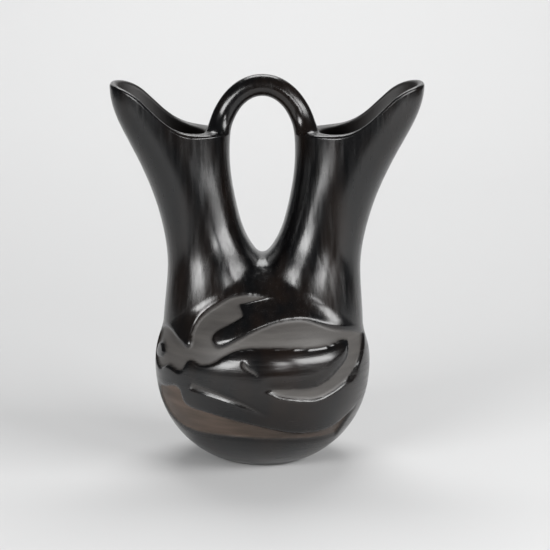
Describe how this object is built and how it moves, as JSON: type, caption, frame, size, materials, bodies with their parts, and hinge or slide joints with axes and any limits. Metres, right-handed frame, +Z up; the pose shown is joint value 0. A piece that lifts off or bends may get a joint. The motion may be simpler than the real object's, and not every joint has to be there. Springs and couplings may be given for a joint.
{
  "type": "wedding vase",
  "caption": "Burnished blackware wedding vase: round carved bowl that parts into two flared necks joined by a coil handle over an open loop.",
  "frame": {"origin": "centre of the flat foot, at the surface it stands on", "axes": "+Z up, X from the left neck (-X) to the right neck (+X), -Y towards the viewer of the pictured side"},
  "size_m": [0.23, 0.1594, 0.2866],
  "materials": {
    "blackware": "burnished"
  },
  "bodies": {
    "root": {"vase": "blackware"}
  },
  "joints": []
}
